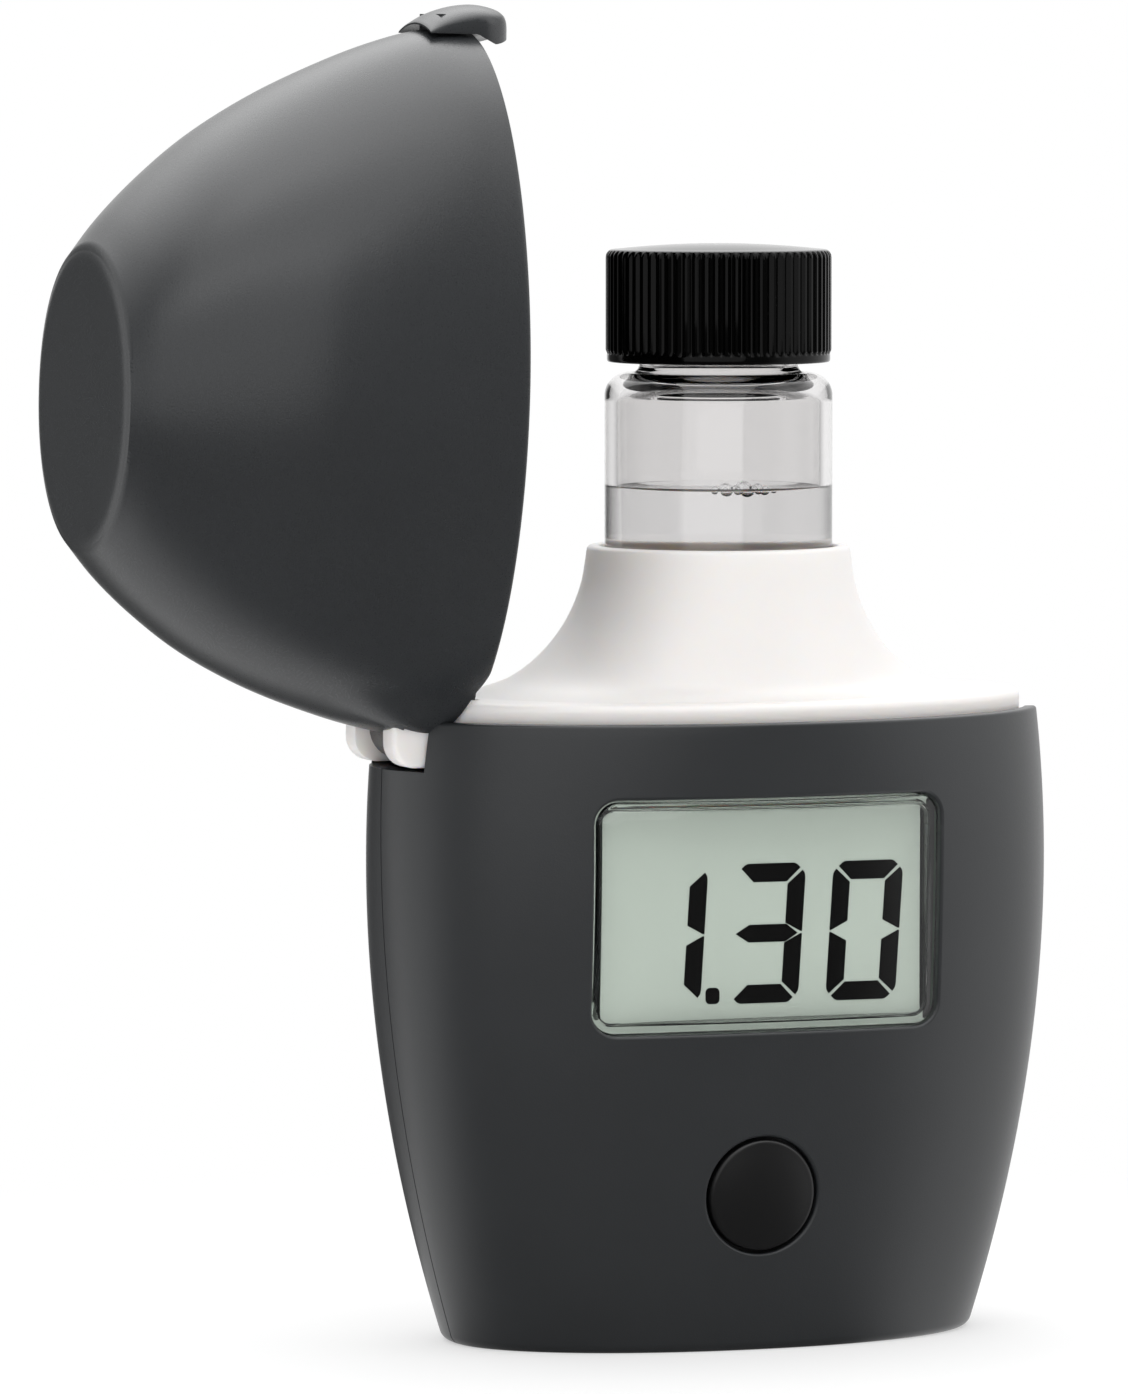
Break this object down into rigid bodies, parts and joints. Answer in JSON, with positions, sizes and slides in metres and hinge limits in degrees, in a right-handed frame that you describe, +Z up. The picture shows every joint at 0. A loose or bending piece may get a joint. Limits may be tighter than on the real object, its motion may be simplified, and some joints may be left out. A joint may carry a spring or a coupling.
{
  "type": "pocket photometer",
  "caption": "Pocket photometer with a domed side-hinged lid, a flared collar that holds a capped glass vial, a small display, a button and its inner works.",
  "frame": {"origin": "middle of the flat base, on the surface that the part stands on", "axes": "+Z up; -Y is the side with the display and the button; the lid hinges at the -X end about an axis along Y"},
  "size_m": [0.088, 0.0376, 0.1154],
  "materials": {
    "front_shell": "fine satin grain",
    "rear_shell": "fine satin grain",
    "cuvette_collar": "satin gloss",
    "display_window": "clear plastic, polished",
    "lcd_panel": "satin",
    "lcd_frame": "matt",
    "zebra_connector": "matt",
    "circuit_board": "solder mask",
    "control_chip": "matt",
    "push_button": "satin",
    "tactile_switch": "matt",
    "switch_plunger": "satin",
    "cuvette_holder": "matt, against stray light",
    "vial_lifter": "matt",
    "lifter_spring": "drawn wire",
    "light_emitter": "moulded lens",
    "photo_detector": "polished",
    "detector_board": "solder mask",
    "amplifier_chip": "matt",
    "detector_ribbon": "polyimide film",
    "battery": "plain printed jacket",
    "battery_cover": "fine satin grain",
    "battery_spring": "drawn wire, plated",
    "battery_contact": "plated",
    "shell_screw_left": "zinc plated",
    "shell_screw_right": "zinc plated",
    "shell_screw_low": "zinc plated",
    "board_screw_left": "zinc plated",
    "board_screw_right": "zinc plated",
    "hinge_pin": "ground",
    "cuvette_glass": "clear, polished",
    "sample_liquid": "clear water",
    "cuvette_cap": "gloss, ribbed",
    "cap_liner": "smooth",
    "lid_shell": "fine satin grain",
    "lid_latch": "satin"
  },
  "bodies": {
    "housing": {"front_shell": "front_shell", "rear_shell": "rear_shell", "cuvette_collar": "cuvette_collar", "display_window": "display_window", "lcd_panel": "lcd_panel", "lcd_frame": "lcd_frame", "zebra_connector": "zebra_connector", "circuit_board": "circuit_board", "control_chip": "control_chip", "tactile_switch": "tactile_switch", "cuvette_holder": "cuvette_holder", "lifter_spring": "lifter_spring", "light_emitter": "light_emitter", "photo_detector": "photo_detector", "detector_board": "detector_board", "amplifier_chip": "amplifier_chip", "detector_ribbon": "detector_ribbon", "battery": "battery", "battery_contact": "battery_contact", "shell_screw_left": "shell_screw_left", "shell_screw_right": "shell_screw_right", "shell_screw_low": "shell_screw_low", "board_screw_left": "board_screw_left", "board_screw_right": "board_screw_right", "hinge_pin": "hinge_pin"},
    "lid": {"lid_shell": "lid_shell", "lid_latch": "lid_latch"},
    "button": {"push_button": "push_button"},
    "plunger": {"switch_plunger": "switch_plunger"},
    "lifter": {"vial_lifter": "vial_lifter"},
    "cuvette": {"cuvette_glass": "cuvette_glass", "sample_liquid": "sample_liquid"},
    "seal": {"cap_liner": "cap_liner"},
    "cap": {"cuvette_cap": "cuvette_cap"},
    "cover": {"battery_cover": "battery_cover", "battery_spring": "battery_spring"}
  },
  "joints": [
    {"name": "lid_hinge", "type": "hinge", "parent": "housing", "child": "lid", "pos_m": [-0.02631, 0, 0.0569], "axis": [0, -1, 0], "range_deg": [-88.7, 0]},
    {"name": "lifter_travel", "type": "slide", "parent": "housing", "child": "lifter", "axis": [0, 0, 1], "range_m": [-0.0093, 0], "stiffness_N_per_m": 20, "springref_m": 0.018, "deforming": ["lifter_spring"]},
    {"name": "cuvette_lift", "type": "slide", "parent": "lifter", "child": "cuvette", "axis": [0, 0, 1], "range_m": [0, 0.045]},
    {"name": "cap_rise", "type": "slide", "parent": "cuvette", "child": "seal", "axis": [0, 0, 1], "range_m": [0, 0.0045]},
    {"name": "cap_turn", "type": "hinge", "parent": "seal", "child": "cap", "pos_m": [0.0014, 0.0009, 0.0895], "axis": [0, 0, 1], "range_deg": [0, 540]},
    {"name": "button_press", "type": "slide", "parent": "housing", "child": "button", "axis": [0, 1, 0], "range_m": [0, 0.0003], "stiffness_N_per_m": 1500, "springref_m": -0.0004},
    {"name": "plunger_travel", "type": "slide", "parent": "housing", "child": "plunger", "axis": [0, 1, 0], "range_m": [0, 0.00032]},
    {"name": "cover_turn", "type": "hinge", "parent": "housing", "child": "cover", "pos_m": [-0.01611, 0, 0.0011], "axis": [0, 0, -1], "range_deg": [0, 90]}
  ],
  "couplings": [
    {"joint": "lifter_travel", "follows": "lid_hinge", "m_per_rad": 0.0059427},
    {"joint": "cap_turn", "follows": "cap_rise", "rad_per_m": 2094.4},
    {"joint": "plunger_travel", "follows": "button_press", "ratio": 1}
  ]
}
